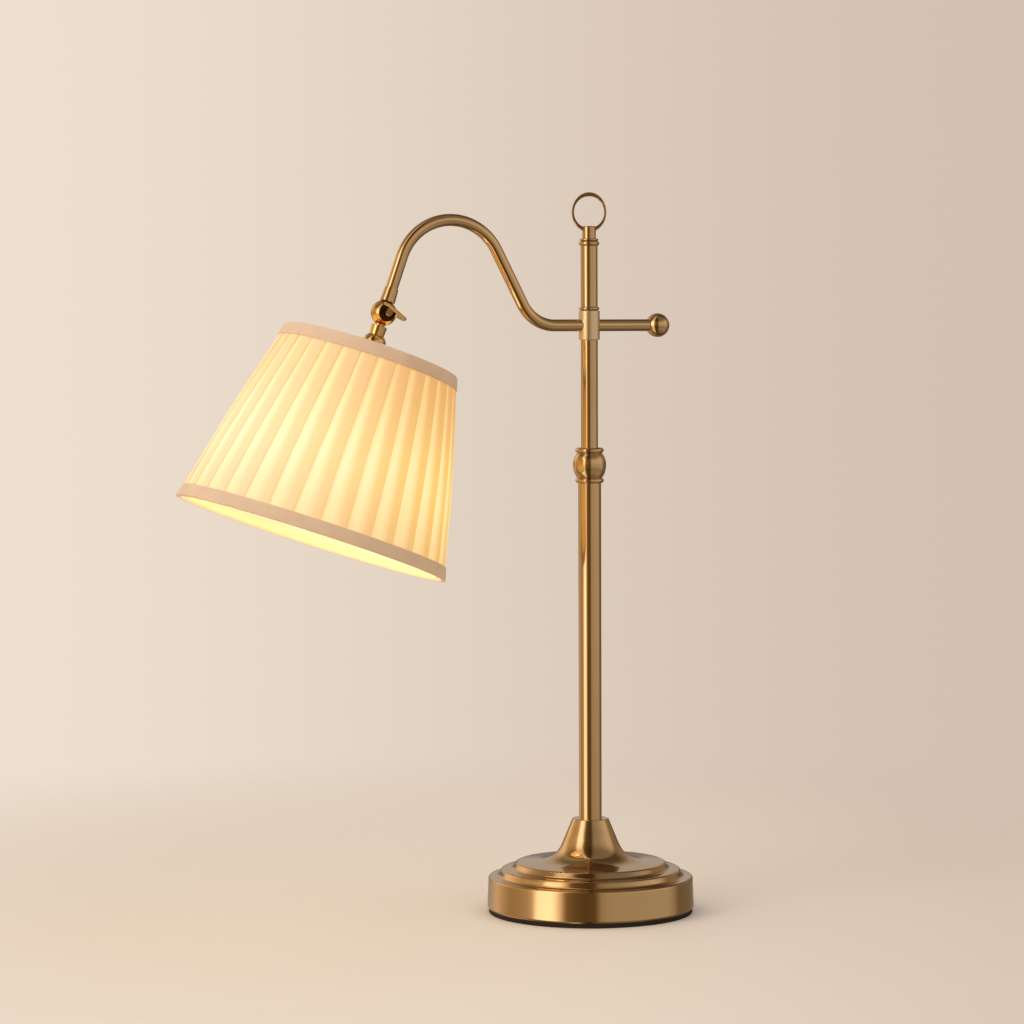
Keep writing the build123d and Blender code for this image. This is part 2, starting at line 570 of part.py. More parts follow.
# Wing key and its screw in one piece: a short hub on the ball's flat face, and a fan-shaped blade that
# widens from the hub to its outer edge.
KEY_SLANT = 39.0  # of the blade below the level, towards the stem
HUB_RADIUS, HUB_END = 2.8, 12.5
BLADE_NEAR, BLADE_SHOULDER, BLADE_FAR = 9.4, 18.5, 24.0  # distances in front of the arm's plane
BLADE_ROOT_HALF, BLADE_HALF, BLADE_THICK = 4.0, 11.2, 2.9
BLADE_ASIDE, BLADE_UP = 2.3, 0.9  # from the hub's axis to the blade's middle
SCREW_END = 8.6  # behind the arm's plane
blade_along = Vector(cos(radians(KEY_SLANT)), 0, -sin(radians(KEY_SLANT)))
blade_middle = swivel + Vector(BLADE_ASIDE, 0, BLADE_UP)
blade_normal = blade_along.cross(Vector(0, -1, 0))
hub_plane = facing_front(swivel, FACE_FLOOR + GAP)
with BuildPart() as wing_key:
    with BuildSketch(Plane(origin=blade_middle, x_dir=blade_along, z_dir=blade_normal)) as fan:
        with BuildLine():
            Polyline(
                (-BLADE_ROOT_HALF, BLADE_NEAR), (-BLADE_HALF, BLADE_SHOULDER), (-BLADE_HALF, BLADE_FAR),
                (BLADE_HALF, BLADE_FAR), (BLADE_HALF, BLADE_SHOULDER), (BLADE_ROOT_HALF, BLADE_NEAR),
                close=True,
            )
        make_face()
        fillet(fan.vertices(), 2.4)
    extrude(amount=BLADE_THICK / 2, both=True)
    blade_faces = wing_key.faces().sort_by(Axis(blade_middle, blade_normal))
    chamfer(blade_faces[0].edges() + blade_faces[-1].edges(), 0.6)
    with BuildSketch(hub_plane):
        Circle(HUB_RADIUS)
    extrude(amount=HUB_END - FACE_FLOOR - GAP)
    with BuildSketch(hub_plane):
        Circle(SCREW_RADIUS)
    extrude(amount=-(FACE_FLOOR + GAP + SCREW_END))
save(wing_key, "wing_key")

# ---- lampholder ---------------------------------------------------------------------------------------
NIPPLE_RADIUS, NIPPLE_START, NIPPLE_END = 3.9, 15.5, 38.0


def head_turned(label, outline):
    """Write a piece turned about the head's axis."""
    turned(label, outline, head_section, head_axis)


head_turned(
    "head_neck",
    [
        (STUB_RADIUS, NECK_START), (NECK_LARGE - 0.4, NECK_START), (NECK_LARGE, NECK_START + 0.4),
        (NECK_SMALL, NECK_END),
        (NIPPLE_RADIUS, NECK_END), (NIPPLE_RADIUS, NIPPLE_START), (LEAD_BORE, NIPPLE_START),
        (LEAD_BORE, NECK_SEAT), (STUB_RADIUS, NECK_SEAT),
    ],
)
head_turned("head_nipple", band(LEAD_BORE, NIPPLE_RADIUS, NIPPLE_START, NIPPLE_END))

# Bell-shaped brass cup over the lampholder: a round shoulder under the neck, then a wider dome.
with BuildPart() as holder_cup:
    with BuildSketch(head_section):
        with BuildLine():
            Polyline((NIPPLE_RADIUS, NECK_END), (6.4, NECK_END))
            ThreePointArc((6.4, NECK_END), (8.5, 21.7), (9.5, 25.2))
            ThreePointArc((9.5, 25.2), (16.6, 30.4), (20.0, 38.5))
            Polyline((20.0, 38.5), (20.0, CUP_END), (HOLDER_RADIUS, CUP_END), (HOLDER_RADIUS, 38.9))
            ThreePointArc((HOLDER_RADIUS, 38.9), (15.9, 31.6), (8.6, 26.4))
            Polyline((8.6, 26.4), (6.2, 20.9), (NIPPLE_RADIUS, 20.9), (NIPPLE_RADIUS, NECK_END))
        make_face()
    revolve(axis=head_axis)
save(holder_cup, "holder_cup")

SLEEVE_BORE = HOLDER_RADIUS - HOLDER_WALL
HOLDER_START, INSULATOR_START, INSULATOR_FLOOR, INSULATOR_BORE = 42.0, 40.0, 47.0, 14.4
SCREW_SHELL_INNER, SCREW_SHELL_OUTER = 13.6, 14.3
CONTACT_START, CONTACT_BEND, CONTACT_END = 47.2, 48.0, 50.2
CONTACT_LENGTH, CONTACT_WIDTH = 14.0, 6.0
head_turned("lampholder_shell", band(SLEEVE_BORE, HOLDER_RADIUS, HOLDER_START, HOLDER_END))
head_turned(
    "lampholder_insulator",
    [
        (0, INSULATOR_START), (SLEEVE_BORE, INSULATOR_START), (SLEEVE_BORE, HOLDER_END - 1),
        (INSULATOR_BORE, HOLDER_END - 1), (INSULATOR_BORE, INSULATOR_FLOOR), (0, INSULATOR_FLOOR),
    ],
)
head_turned("lampholder_screw_shell", band(SCREW_SHELL_INNER, SCREW_SHELL_OUTER, 48.0, HOLDER_END - 2))
with BuildPart() as lampholder_contact:
    with BuildSketch(head_plane(CONTACT_START)):
        Rectangle(CONTACT_LENGTH, CONTACT_WIDTH)
    extrude(amount=CONTACT_BEND - CONTACT_START)
    with BuildSketch(head_plane(CONTACT_BEND)):
        Rectangle(CONTACT_WIDTH, CONTACT_WIDTH)
    extrude(amount=CONTACT_END - CONTACT_BEND)
save(lampholder_contact, "lampholder_contact")

RING_LENGTH, RING_OUTER = 4.5, 26.0
with BuildPart() as shade_rings:
    for start in (CARRIER_AT - RING_LENGTH, CARRIER_AT + CARRIER_THICK):
        with BuildSketch(head_plane(start)):
            Circle(RING_OUTER)
            Circle(HOLDER_RADIUS, mode=Mode.SUBTRACT)
        extrude(amount=RING_LENGTH)
save(shade_rings, "shade_rings")

HEAD_LEAD_START, HEAD_LEAD_END = 12.0, 39.0
with BuildPart() as head_lead:
    with BuildSketch(head_plane(HEAD_LEAD_START)):
        Circle(LEAD_RADIUS)
    extrude(amount=HEAD_LEAD_END - HEAD_LEAD_START)
save(head_lead, "head_lead")


# ---- shade --------------------------------------------------------------------------------------------
def shade_radius(distance):
    """Return the shade's outer radius at a distance along the head's axis."""
    share = (distance - SHADE_TOP_AT) / (SHADE_BOTTOM_AT - SHADE_TOP_AT)
    return SHADE_TOP_RADIUS + (SHADE_BOTTOM_RADIUS - SHADE_TOP_RADIUS) * share


def cone_skin(label, start, end, outer_inset, inner_inset):
    """Write a conical skin that lies between two insets from the shade's outer surface."""
    head_turned(
        label,
        [
            (shade_radius(start) - inner_inset, start), (shade_radius(start) - outer_inset, start),
            (shade_radius(end) - outer_inset, end), (shade_radius(end) - inner_inset, end),
        ],
    )


def folded_trim(label, rim, inward):
    """Write a ribbon folded over the rim; inward is +1 at the top rim and -1 at the bottom rim."""
    under = rim + inward * TRIM_THICK
    outer_edge, inner_edge = rim + inward * TRIM_WIDTH, rim + inward * TRIM_WIDTH / 2
    head_turned(
        label,
        [
            (shade_radius(rim), rim), (shade_radius(outer_edge), outer_edge),
            (shade_radius(outer_edge) - TRIM_THICK, outer_edge), (shade_radius(under) - TRIM_THICK, under),
            (shade_radius(under) - skin_depth, under), (shade_radius(inner_edge) - skin_depth, inner_edge),
            (shade_radius(inner_edge) - trim_depth, inner_edge), (shade_radius(rim) - trim_depth, rim),
        ],
    )


SKIN_GAP = 0.1
cover_inset = TRIM_THICK + SKIN_GAP
lining_inset = cover_inset + COVER_THICK + SKIN_GAP
skin_depth = lining_inset + LINING_THICK + SKIN_GAP
trim_depth = skin_depth + TRIM_THICK
skin_start, skin_end = SHADE_TOP_AT + TRIM_THICK + SKIN_GAP, SHADE_BOTTOM_AT - TRIM_THICK - SKIN_GAP
cone_skin("shade_cover", skin_start, skin_end, cover_inset, cover_inset + COVER_THICK)
cone_skin("shade_lining", skin_start, skin_end, lining_inset, lining_inset + LINING_THICK)
folded_trim("shade_top_trim", SHADE_TOP_AT, 1)
folded_trim("shade_bottom_trim", SHADE_BOTTOM_AT, -1)


def wire_circle(distance):
    """Return the radius of a wire ring that lies inside the trim at a distance along the head's axis."""
    return shade_radius(distance) - trim_depth - WIRE_RADIUS - 2 * SKIN_GAP


def wire_ring(label, distance):
    """Write a wire ring of the shade's frame."""
    with BuildPart() as piece:
        with BuildSketch(head_section):
            with Locations((wire_circle(distance), distance)):
                Circle(WIRE_RADIUS)
        revolve(axis=head_axis)
    save(piece, label)
    return piece.part


WIRE_IN = 2.2  # from a rim to its wire ring
TOP_WIRE_AT, BOTTOM_WIRE_AT = SHADE_TOP_AT + WIRE_IN, SHADE_BOTTOM_AT - WIRE_IN
top_wire = wire_ring("shade_top_wire", TOP_WIRE_AT)
wire_ring("shade_bottom_wire", BOTTOM_WIRE_AT)

# Carrier: a washer between the shade rings and three arms up to the top wire.
CARRIER_RADIUS = 28.0
SPOKES, FIRST_SPOKE = 3, 60.0
carrier_middle = CARRIER_AT + CARRIER_THICK / 2
with BuildPart() as shade_carrier:
    with BuildSketch(head_plane(CARRIER_AT)):
        Circle(CARRIER_RADIUS)
        Circle(HOLDER_RADIUS + 0.2, mode=Mode.SUBTRACT)
    extrude(amount=CARRIER_THICK)
    for turn in range(SPOKES):
        spoke = head_side.rotate(Axis((0, 0, 0), head_dir), FIRST_SPOKE + turn * 360 / SPOKES)
        with BuildLine() as spoke_line:
            Line(
                swivel + head_dir * carrier_middle + spoke * (CARRIER_RADIUS - 0.8),
                swivel + head_dir * TOP_WIRE_AT + spoke * wire_circle(TOP_WIRE_AT),
            )
        with BuildSketch(Plane(origin=spoke_line.line @ 0, z_dir=spoke_line.line % 0)):
            Circle(WIRE_RADIUS)
        sweep(path=spoke_line.line)
    add(top_wire, mode=Mode.SUBTRACT)
save(shade_carrier, "shade_carrier")

# ---- bulb ---------------------------------------------------------------------------------------------
head_turned(
    "bulb_cap",
    [
        (0, BULB_CONTACT_AT), (4.5, BULB_CONTACT_AT), (5.0, 52.0), (10.5, 54.0), (BULB_CAP_RADIUS, 56.5),
        (BULB_CAP_RADIUS, BULB_CAP_END), (12.6, BULB_CAP_END), (12.6, 57.0), (0, 55.0),
    ],
)
GLASS_START, GLASS_NECK = 70.0, 12.5
bulb_middle = BULB_TIP - BULB_RADIUS
bulb_inner, neck_inner = BULB_RADIUS - GLASS_WALL, GLASS_NECK - GLASS_WALL
diagonal_share = sin(radians(45))
with BuildPart() as bulb_glass:
    with BuildSketch(head_section):
        with BuildLine():
            Line((GLASS_NECK, GLASS_START), (GLASS_NECK, BULB_CAP_END))
            Spline(
                (GLASS_NECK, BULB_CAP_END), (16.0, 86.0), (24.5, 104.0), (BULB_RADIUS, bulb_middle),
                tangents=[(0.2, 1), (0, 1)],
            )
            ThreePointArc(
                (BULB_RADIUS, bulb_middle),
                (BULB_RADIUS * diagonal_share, bulb_middle + BULB_RADIUS * diagonal_share),
                (0, BULB_TIP),
            )
            Line((0, BULB_TIP), (0, BULB_TIP - GLASS_WALL))
            ThreePointArc(
                (0, BULB_TIP - GLASS_WALL),
                (bulb_inner * diagonal_share, bulb_middle + bulb_inner * diagonal_share),
                (bulb_inner, bulb_middle),
            )
            Spline(
                (bulb_inner, bulb_middle), (23.7, 104.4), (15.2, 86.4), (neck_inner, BULB_CAP_END),
                tangents=[(0, -1), (-0.2, -1)],
            )
            Polyline((neck_inner, BULB_CAP_END), (neck_inner, GLASS_START), (GLASS_NECK, GLASS_START))
        make_face()
    revolve(axis=head_axis)
save(bulb_glass, "bulb_glass")

head_turned(
    "bulb_mount",
    [(0, 71), (11.0, 71), (8.0, 75), (4.0, 82), (3.0, 100), (0, 100)],
)
FILAMENTS, FILAMENT_LENGTH, FILAMENT_RADIUS = 4, 35.0, 0.9
FILAMENT_START, FILAMENT_ASIDE, FILAMENT_SPREAD = 101.0, 4.0, 0.26
with BuildPart() as bulb_filaments:
    for turn in range(FILAMENTS):
        outward = head_side.rotate(Axis((0, 0, 0), head_dir), turn * 360 / FILAMENTS)
        start_point = swivel + head_dir * FILAMENT_START + outward * FILAMENT_ASIDE
        filament_dir = (head_dir + outward * FILAMENT_SPREAD).normalized()
        with BuildSketch(Plane(origin=start_point, z_dir=filament_dir)):
            Circle(FILAMENT_RADIUS)
        extrude(amount=FILAMENT_LENGTH)
save(bulb_filaments, "bulb_filaments")
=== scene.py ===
"""Looks of the swing arm desk lamp: brushed brass, a lit shade of pleated cloth, and a pale studio.

Metres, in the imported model's own frame: +Z is up the stem and the arm reaches towards -X.
"""

import json
import math

import bmesh
import bpy
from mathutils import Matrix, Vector, noise

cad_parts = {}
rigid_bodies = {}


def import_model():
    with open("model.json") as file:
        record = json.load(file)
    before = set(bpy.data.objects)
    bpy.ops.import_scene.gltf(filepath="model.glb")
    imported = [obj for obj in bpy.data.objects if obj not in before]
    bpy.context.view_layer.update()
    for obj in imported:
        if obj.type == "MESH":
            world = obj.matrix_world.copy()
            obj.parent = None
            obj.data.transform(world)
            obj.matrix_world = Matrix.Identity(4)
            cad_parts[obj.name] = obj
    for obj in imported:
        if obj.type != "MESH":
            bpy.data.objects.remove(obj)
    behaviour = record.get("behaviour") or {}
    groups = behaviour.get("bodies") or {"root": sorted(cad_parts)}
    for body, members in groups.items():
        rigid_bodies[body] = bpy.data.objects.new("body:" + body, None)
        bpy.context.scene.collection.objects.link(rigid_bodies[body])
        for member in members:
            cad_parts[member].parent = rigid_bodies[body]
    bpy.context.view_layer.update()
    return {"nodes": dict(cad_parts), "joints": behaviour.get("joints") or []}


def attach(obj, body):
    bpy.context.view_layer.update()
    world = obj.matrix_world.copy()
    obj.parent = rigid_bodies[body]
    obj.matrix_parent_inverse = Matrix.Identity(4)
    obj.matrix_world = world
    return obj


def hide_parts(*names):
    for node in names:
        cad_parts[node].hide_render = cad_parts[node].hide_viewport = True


for leftover in list(bpy.data.objects):
    bpy.data.objects.remove(leftover)
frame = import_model()

MM = 0.001

# ---- the head's own frame: distance along its axis from the swivel, radius, and turn about the axis ----
HEAD_TILT = math.radians(19.3)
SWIVEL = Vector(next(j["pos_m"] for j in frame["joints"] if j["name"] == "shade_tilt"))
HEAD_AXIS = Vector((-math.sin(HEAD_TILT), 0, -math.cos(HEAD_TILT)))
HEAD_SIDE = Vector((math.cos(HEAD_TILT), 0, -math.sin(HEAD_TILT)))
HEAD_ACROSS = Vector((0, 1, 0))

SHADE_TOP, SHADE_BOTTOM = 32.3 * MM, 192.7 * MM  # rims, along the head's axis
TOP_RADIUS, BOTTOM_RADIUS = 73.2 * MM, 114.0 * MM
TRIM_WIDTH, TRIM_THICK = 11.0 * MM, 0.9 * MM
COVER_INSET, COVER_DEPTH = 1.0 * MM, 2.0 * MM
LINING_INSET, LINING_THICK = 3.1 * MM, 0.8 * MM
LINING_ROWS = 24
BULB_CENTRE = 128.0 * MM


def shade_radius(along):
    """Radius of the shade's outer cone at a distance along the head's axis."""
    share = (along - SHADE_TOP) / (SHADE_BOTTOM - SHADE_TOP)
    return TOP_RADIUS + (BOTTOM_RADIUS - TOP_RADIUS) * share


def on_head(radius, turn, along):
    """A point of the head; turn 0 faces the stem and a quarter turn back faces the front."""
    outward = HEAD_SIDE * math.cos(turn) + HEAD_ACROSS * math.sin(turn)
    return SWIVEL + HEAD_AXIS * along + outward * radius


# ---- meshes -------------------------------------------------------------------------------------------
def mesh_piece(name, vertices, faces):
    """Make a smooth object from vertices and faces, with its faces turned the same way."""
    mesh = bpy.data.meshes.new(name)
    mesh.from_pydata(vertices, [], faces)
    mesh.validate()
    shell = bmesh.new()
    shell.from_mesh(mesh)
    bmesh.ops.recalc_face_normals(shell, faces=shell.faces)
    shell.to_mesh(mesh)
    shell.free()
    mesh.polygons.foreach_set("use_smooth", [True] * len(mesh.polygons))
    piece = bpy.data.objects.new(name, mesh)
    bpy.context.scene.collection.objects.link(piece)
    return piece


def grid_faces(rows, columns, wrap_rows=False):
    """Quads of a grid that is closed round its columns, and round its rows if asked."""
    faces = []
    for row in range(rows if wrap_rows else rows - 1):
        above = (row + 1) % rows
        for column in range(columns):
            beside = (column + 1) % columns
            near = (row * columns + column, row * columns + beside)
            far = (above * columns + beside, above * columns + column)
            faces.append(near + far)
    return faces


def put_light_share(piece, values):
    """Store how much light comes through the cloth at each of a piece's points."""
    share = piece.data.attributes.new("light_share", "FLOAT", "POINT")
    share.data.foreach_set("value", values)


# ---- pleated cover ------------------------------------------------------------------------------------
PLEATS = 32
FOLD_AT_BOTTOM, FOLD_AT_TOP = 8.2 * MM, 10.4 * MM  # how far each knife pleat lies over the next
CLOTH = 0.25 * MM
LAYER = 0.62 * MM  # spacing of the three layers in a fold
LOOSE = 0.1 * MM  # gap under the lowest layer
BULGE = 1.8 * MM  # how far the cloth stands off half way down
COVER_ROWS = 46
FOLD_ROUND = 0.22 * MM  # how far a folded edge reaches past its crease
FOLD_CROWN = 0.25 * MM  # how far the top layer lifts off over a fold
HIDDEN_LIGHT = 0.25  # light let through by the layer under a fold
STRIP_LOSS, STRIP_SHADE, STRIP_SHADE_FROM = 0.25, 0.35, 0.60  # how the single layer darkens along its width
FOLD_LIGHT, FOLD_FADE = 0.40, 2.2 * MM  # light at the start of the triple layer, and where it has gone
RIM_SETBACK = 1.0 * MM  # cloth and lining end this far inside each rim


def smooth_step(x):
    x = min(max(x, 0.0), 1.0)
    return x * x * (3 - 2 * x)


def pleat_section(pitch, fold):
    """One pleat's path across the cloth as (distance round the shade, height, light let through).

    The path starts at the inner fold, runs under the crisp outer fold, across the single layer, over the
    next fold and back to the next inner fold.
    """
    path = []
    for step in range(4):  # bottom layer, hidden under the fold
        path.append((fold * step / 4, 0.0, HIDDEN_LIGHT))
    single = pitch - fold
    for step in range(10):  # the single layer that shows light, brightest beside the crisp fold
        share = step / 9
        shade = STRIP_SHADE * smooth_step((share - STRIP_SHADE_FROM) / (1 - STRIP_SHADE_FROM))
        light = 1.0 - STRIP_LOSS * share - shade
        path.append((fold + single * share, 2 * LAYER * smooth_step(share), light))
    for step in range(1, 9):  # top layer over the next fold
        share = step / 8
        light = FOLD_LIGHT * (1 - smooth_step(share * fold / FOLD_FADE))
        path.append((pitch + fold * share, 2 * LAYER + FOLD_CROWN * math.sin(math.pi * share), light))
    path.append((pitch + fold + FOLD_ROUND, 1.65 * LAYER, 0.0))  # round the outer fold
    path.append((pitch + fold, 1.2 * LAYER, 0.0))
    for step in range(1, 4):  # middle layer, back under
        path.append((pitch + fold * (1 - step / 4), LAYER, 0.0))
    path.append((pitch - FOLD_ROUND, 0.5 * LAYER, 0.0))  # round the inner fold
    return path


def uneven(a, b, c, size):
    """A smooth random length of up to about size, the same on every run."""
    return noise.noise(Vector((a, b, c))) * size


def make_cover():
    """The cover of knife pleats, each fold's edge leaning a little its own way."""
    start, end = SHADE_TOP + RIM_SETBACK, SHADE_BOTTOM - RIM_SETBACK
    vertices, light = [], []
    for row in range(COVER_ROWS):
        down = row / (COVER_ROWS - 1)
        along = start + (end - start) * down
        radius = shade_radius(along) - COVER_INSET - COVER_DEPTH + BULGE * math.sin(math.pi * down)
        pitch = math.tau * radius / PLEATS
        fold = FOLD_AT_TOP + (FOLD_AT_BOTTOM - FOLD_AT_TOP) * down
        for pleat in range(PLEATS):
            drift = uneven(pleat * 3.7, along * 9, 0.5, 1.3 * MM)
            width = fold + uneven(pleat * 5.1, along * 6, 9.5, 0.9 * MM)
            for distance, height, let_through in pleat_section(pitch, width):
                ease = uneven(pleat * 1.9 + distance * 60, along * 22, 3.0, 0.22 * MM)
                turn = (pleat * pitch + distance + drift) / radius
                vertices.append(on_head(radius + CLOTH + LOOSE + height + ease, turn, along))
                light.append(let_through)
    columns = len(vertices) // COVER_ROWS
    cover = mesh_piece("pleated_cover", vertices, grid_faces(COVER_ROWS, columns))
    put_light_share(cover, light)
    thicken = cover.modifiers.new("cloth", "SOLIDIFY")
    thicken.thickness = CLOTH
    thicken.offset = 0
    return cover


BAND_SEGMENTS = 288


def band_piece(name, outline, ripple=0.0):
    """A closed band turned about the head's axis from an outline of (radius, distance along) points."""
    vertices = []
    for radius, along in outline:
        for segment in range(BAND_SEGMENTS):
            turn = math.tau * segment / BAND_SEGMENTS
            lift = uneven(math.cos(turn) * 9, math.sin(turn) * 9, along * 60, ripple)
            vertices.append(on_head(radius + lift, turn, along))
    return mesh_piece(name, vertices, grid_faces(len(outline), BAND_SEGMENTS, wrap_rows=True))


def make_lining():
    """The smooth bonded lining, a thin closed skin."""
    start, end = SHADE_TOP + RIM_SETBACK, SHADE_BOTTOM - RIM_SETBACK
    places = [start + (end - start) * row / (LINING_ROWS - 1) for row in range(LINING_ROWS)]
    outline = [(shade_radius(a) - LINING_INSET, a) for a in places]
    outline += [(shade_radius(a) - LINING_INSET - LINING_THICK, a) for a in reversed(places)]
    return band_piece("bonded_lining", outline)


TRIM_SHARES = (0.12, 0.3, 0.5, 0.7, 0.9, 0.985, 1.0)  # places across the ribbon's outer face, from the rim
TRIM_RIM_STEPS = 6
TRIM_CROWN, TRIM_EDGE = 0.22 * MM, 0.2 * MM  # the outer face's swell, and how far its edge is pressed down
TRIM_GAP = 0.1 * MM
TRIM_RIM_LEVEL, TRIM_RIM_DROP = 0.75 * MM, 0.7 * MM  # the turn over the rim, seen from the side
TRIM_RIPPLE = 0.18 * MM


def make_trim(name, rim, inward):
    """A ribbon folded over a rim, with soft edges; inward is 1 at the top rim and -1 at the bottom."""
    depth = LINING_INSET + LINING_THICK + TRIM_GAP
    outline = []
    for share in reversed(TRIM_SHARES):  # outer face, up to the rim
        along = rim + inward * TRIM_WIDTH * share
        swell = TRIM_CROWN * math.sin(math.pi * share) - (TRIM_EDGE if share == 1.0 else 0)
        outline.append((shade_radius(along) - TRIM_EDGE + swell, along))
    middle = shade_radius(rim) - (depth + TRIM_THICK) / 2
    half = (depth + TRIM_THICK) / 2 - TRIM_GAP
    for step in range(TRIM_RIM_STEPS + 1):  # over the rim
        swing = math.pi * step / TRIM_RIM_STEPS
        level = inward * (TRIM_RIM_LEVEL - TRIM_RIM_DROP * math.sin(swing))
        outline.append((middle + half * math.cos(swing), rim + level))
    inner = [0.0] * len(outline)
    inner[-4:] = [0.25, 0.5, 0.75, 1.0]  # the side towards the bulb takes the lining's light
    for share in (0.12, 0.3, 0.5):  # inner face
        along = rim + inward * TRIM_WIDTH * share
        outline.append((shade_radius(along) - depth - TRIM_THICK, along))
    for share in (0.5, 0.3, 0.16):  # back along the ribbon's inner side
        along = rim + inward * TRIM_WIDTH * share
        outline.append((shade_radius(along) - depth, along))
    inner += [1.0] * (len(outline) - len(inner))
    for share in (0.16, *TRIM_SHARES[1:]):  # the back of the outer face
        along = rim + inward * TRIM_WIDTH * share
        outline.append((shade_radius(along) - TRIM_THICK + (TRIM_GAP if share == 1.0 else 0), along))
    inner += [0.0] * (len(outline) - len(inner))
    ribbon = band_piece(name, outline, ripple=TRIM_RIPPLE)
    put_light_share(ribbon, [share for share in inner for _ in range(BAND_SEGMENTS)])
    return ribbon


cover = make_cover()
lining = make_lining()
top_trim = make_trim("top_trim_ribbon", SHADE_TOP, 1)
bottom_trim = make_trim("bottom_trim_ribbon", SHADE_BOTTOM, -1)
for piece, node, slot in (
    (cover, "shade_cover", "pleated_fabric"),
    (lining, "shade_lining", "lining"),
    (top_trim, "shade_top_trim", "trim_fabric"),
    (bottom_trim, "shade_bottom_trim", "trim_fabric"),
):
    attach(piece, "head")
    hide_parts(node)


# ---- materials ----------------------------------------------------------------------------------------
NOISE_RANGE = (0.3, 0.7)  # where nearly all of a noise's values lie
WEAVE_RANGE = (0.3, 1.6)  # the hollows between a weave's threads, and their tops


class Nodes:
    """Short calls for the nodes of one tree."""

    def __init__(self, tree):
        self.tree = tree

    def join(self, socket, value):
        """Link a socket to another node's output, or give it a plain value."""
        if isinstance(value, bpy.types.NodeSocket):
            self.tree.links.new(value, socket)
        elif hasattr(value, "__len__") and len(value) == 3 and socket.type == "RGBA":
            socket.default_value = (*value, 1)
        else:
            socket.default_value = value

    def node(self, kind, inputs=(), output=0, **properties):
        made = self.tree.nodes.new("ShaderNode" + kind)
        for key, value in properties.items():
            setattr(made, key, value)
        for socket, value in dict(inputs).items():
            self.join(made.inputs[socket], value)
        return made.outputs[output]

    def math(self, operation, a, b=0.0):
        return self.node("Math", {0: a, 1: b}, operation=operation)

    def length(self, a, b):
        """Length of a line that runs a one way and b across it."""
        squares = self.math("ADD", self.math("MULTIPLY", a, a), self.math("MULTIPLY", b, b))
        return self.math("SQRT", squares)

    def dot(self, a, b):
        return self.node("VectorMath", {0: a, 1: b}, output="Value", operation="DOT_PRODUCT")

    def times(self, a, b):
        """Two vectors multiplied along each axis."""
        return self.node("VectorMath", {0: a, 1: b}, operation="MULTIPLY")

    def remap(self, value, low, high, to_low, to_high):
        inputs = {"Value": value, "From Min": low, "From Max": high, "To Min": to_low, "To Max": to_high}
        return self.node("MapRange", inputs)

    def rise(self, value, low, high):
        """0 up to low and 1 from high on, with a soft start and end."""
        inputs = {"Value": value, "From Min": low, "From Max": high}
        return self.node("MapRange", inputs, interpolation_type="SMOOTHSTEP")

    def ramp(self, place, stops):
        """A colour that runs through (place, colour) stops."""
        made = self.tree.nodes.new("ShaderNodeValToRGB")
        self.join(made.inputs[0], place)
        elements = made.color_ramp.elements
        elements.remove(elements[1])
        for at, colour in stops:
            elements.new(at).color = (*colour, 1)
        elements.remove(elements[0])
        return made.outputs[0]

    def mix(self, share, a, b, blend="MIX"):
        made = self.tree.nodes.new("ShaderNodeMix")
        made.data_type = "RGBA"
        made.blend_type = blend
        for index, value in ((0, share), (6, a), (7, b)):
            self.join(made.inputs[index], value)
        return made.outputs[2]

    def mix_number(self, share, a, b):
        return self.node("Mix", {0: share, 2: a, 3: b})


class Shader(Nodes):
    """A material made of nodes, with short calls for the patterns used here."""

    def __init__(self, name, **settings):
        self.material = bpy.data.materials.new(name)
        self.material.use_nodes = True
        super().__init__(self.material.node_tree)
        self.surface = self.tree.nodes["Principled BSDF"]
        for socket, value in settings.items():
            self.set(socket.replace("_", " "), value)

    def set(self, socket, value):
        self.join(self.surface.inputs[socket], value)

    def place(self):
        return self.node("TexCoord", output="Object")

    def offset(self, point):
        """Where the surface is, measured from a point."""
        return self.node("VectorMath", {0: self.place(), 1: point}, operation="SUBTRACT")

    def noise(self, vector, scale, detail=3.0, roughness=0.5):
        inputs = {"Vector": vector, "Scale": scale, "Detail": detail, "Roughness": roughness}
        return self.node("TexNoise", inputs)

    def spread(self, grain, to_low, to_high):
        """A noise's values spread over another range."""
        return self.remap(grain, *NOISE_RANGE, to_low, to_high)

    def threads(self, scale, direction):
        """One set of a cloth's threads."""
        inputs = {"Vector": self.place(), "Scale": scale, "Distortion": 1.5, "Detail": 2.0}
        return self.node("TexWave", inputs, wave_type="BANDS", bands_direction=direction, output="Fac")

    def mottle(self, grain, colour, shade):
        """A colour that a noise turns a little into another."""
        return self.mix(self.spread(grain, 0.0, 1.0), colour, shade)

    def bump(self, height, strength, distance):
        return self.node("Bump", {"Height": height, "Strength": strength, "Distance": distance})


BRUSHED_UP = (1600, 1600, 18)  # strokes per metre along each axis, for brushing up the tubes
BRUSHED_ROUND = (1500, 1500, 0)  # the same outwards and upwards, for brushing round the stem's axis
BRUSHED_FINE = (500, 500, 500)
SMOOTHER, ROUGHER = 0.015, 0.025  # how far the streaks take the roughness down and up
TARNISH_CLOUDS = 28.0
TARNISH_FROM, TARNISH_FULL, TARNISH_MOST = 0.35, 0.75, 0.45
STREAK_RELIEF = 0.03 * MM


